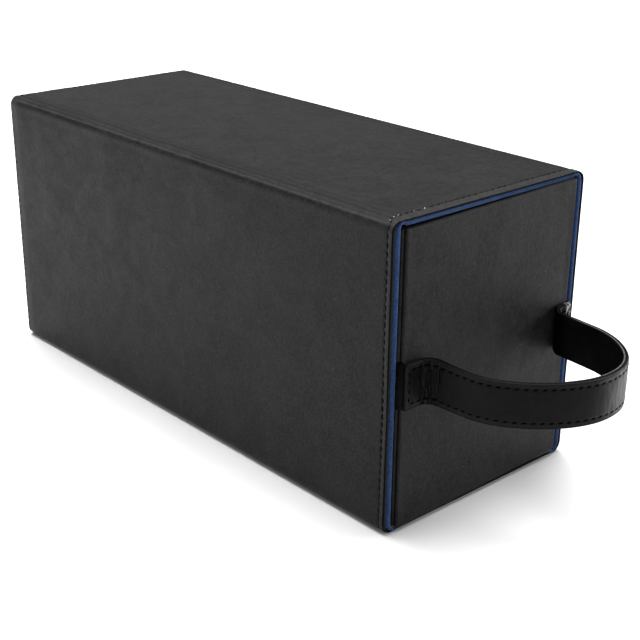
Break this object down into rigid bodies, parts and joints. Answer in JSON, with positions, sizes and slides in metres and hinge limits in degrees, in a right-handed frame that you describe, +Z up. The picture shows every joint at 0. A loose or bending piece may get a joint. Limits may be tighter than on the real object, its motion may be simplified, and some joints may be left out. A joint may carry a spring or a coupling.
{
  "type": "card deck box",
  "caption": "Leatherette storage box for trading cards: an open-ended sleeve and a lined drawer that slides out by a stitched strap handle.",
  "frame": {"origin": "middle of the sleeve's flat underside, which rests on the table", "axes": "+Z up, -Y out of the mouth towards the strap handle, +X to the right seen from the strap's side"},
  "size_m": [0.114, 0.3377, 0.132],
  "materials": {
    "leatherette": "matte suede-touch leatherette, charcoal, mottled",
    "strap_leather": "smooth black leatherette, fine grain, slight sheen",
    "blue_microfibre": "brushed navy-blue microfibre",
    "greyboard": "plain grey bookbinding board, hidden",
    "thread": "bonded polyester thread, black"
  },
  "bodies": {
    "sleeve": {"sleeve_cover": "leatherette", "back_cover": "leatherette", "board_left": "greyboard", "board_right": "greyboard", "board_top": "greyboard", "board_back": "greyboard", "floor_card": "greyboard", "lining_left": "blue_microfibre", "lining_right": "blue_microfibre", "lining_top": "blue_microfibre", "lining_floor": "blue_microfibre", "lining_back": "blue_microfibre", "mouth_thread": "thread", "back_thread": "thread"},
    "drawer": {"tray_cover": "leatherette", "tray_board_floor": "greyboard", "tray_board_left": "greyboard", "tray_board_right": "greyboard", "tray_board_front": "greyboard", "tray_board_rear": "greyboard", "tray_lining_floor": "blue_microfibre", "tray_lining_left": "blue_microfibre", "tray_lining_right": "blue_microfibre", "tray_lining_front": "blue_microfibre", "tray_lining_rear": "blue_microfibre", "front_panel_card": "greyboard", "front_panel_cover": "leatherette", "strap_face": "strap_leather", "strap_base": "strap_leather", "strap_thread": "thread"}
  },
  "joints": [
    {"name": "drawer_slide", "type": "slide", "parent": "sleeve", "child": "drawer", "axis": [0, -1, 0], "range_m": [0, 0.275]}
  ]
}
